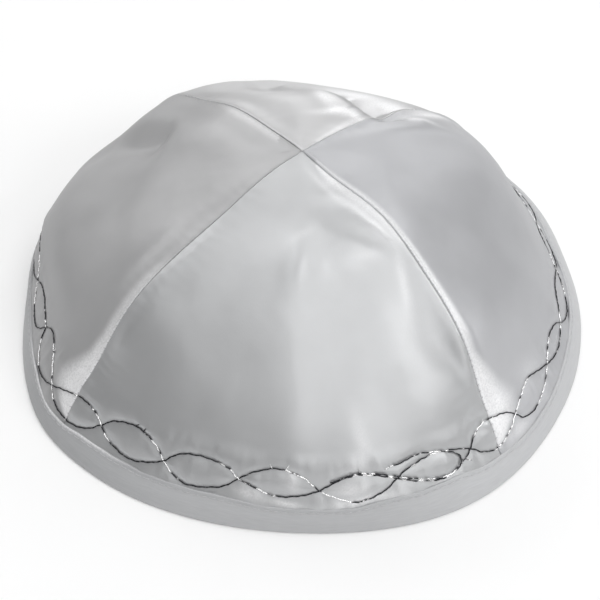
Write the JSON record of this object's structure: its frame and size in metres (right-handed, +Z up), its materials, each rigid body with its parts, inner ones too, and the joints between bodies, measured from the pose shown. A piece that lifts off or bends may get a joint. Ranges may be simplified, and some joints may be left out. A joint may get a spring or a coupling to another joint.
{
  "type": "kippah skullcap",
  "caption": "Shallow domed satin skullcap sewn from curved gores that meet at the crown, with silver wave embroidery and a bound rim.",
  "frame": {"origin": "middle of the rim's outline, on the surface that the cap rests on", "axes": "+Z up through the crown, -Y towards the viewer's side, where the front gore is, +X to the viewer's right"},
  "size_m": [0.1766, 0.1803, 0.0621],
  "materials": {
    "satin": "white satin with a soft directional sheen, silver at a slant",
    "binding_tape": "white matte woven tape, folded over the edge",
    "silver_thread": "metallic silver embroidery thread, twisted, bright where it faces the light and dark elsewhere"
  },
  "bodies": {
    "root": {"panel_front": "satin", "panel_right": "satin", "panel_back": "satin", "panel_left": "satin", "rim_binding": "binding_tape"}
  },
  "joints": []
}
